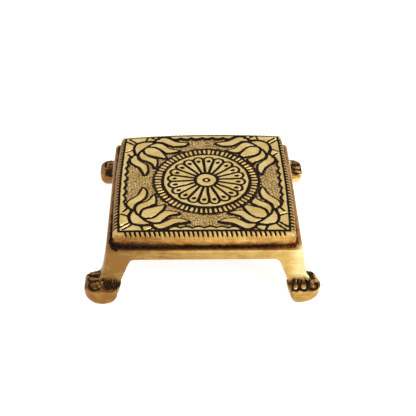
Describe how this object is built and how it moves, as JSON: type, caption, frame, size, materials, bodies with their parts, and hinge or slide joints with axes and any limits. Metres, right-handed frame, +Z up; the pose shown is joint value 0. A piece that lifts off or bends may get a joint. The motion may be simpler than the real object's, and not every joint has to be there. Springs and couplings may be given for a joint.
{
  "type": "bajot low table",
  "caption": "Low square table on splayed legs with toed foot pads, its top plate chased with a rosette, lotuses and a beaded edge.",
  "frame": {"origin": "on the floor, under the middle of the four feet", "axes": "+X to the table's right as seen from the front, +Y to the back, +Z up"},
  "size_m": [0.1208, 0.1158, 0.0358],
  "materials": {
    "frame_brass": "worn cast brass, dark patina in the recesses",
    "plate_brass": "hand-polished relief over a blackened, matted ground",
    "screw_brass": "dull turned brass"
  },
  "bodies": {
    "root": {"leg_frame": "frame_brass", "top_plate": "plate_brass", "fixing_screw_front_left": "screw_brass", "fixing_screw_front_right": "screw_brass", "fixing_screw_back_left": "screw_brass", "fixing_screw_back_right": "screw_brass"}
  },
  "joints": []
}
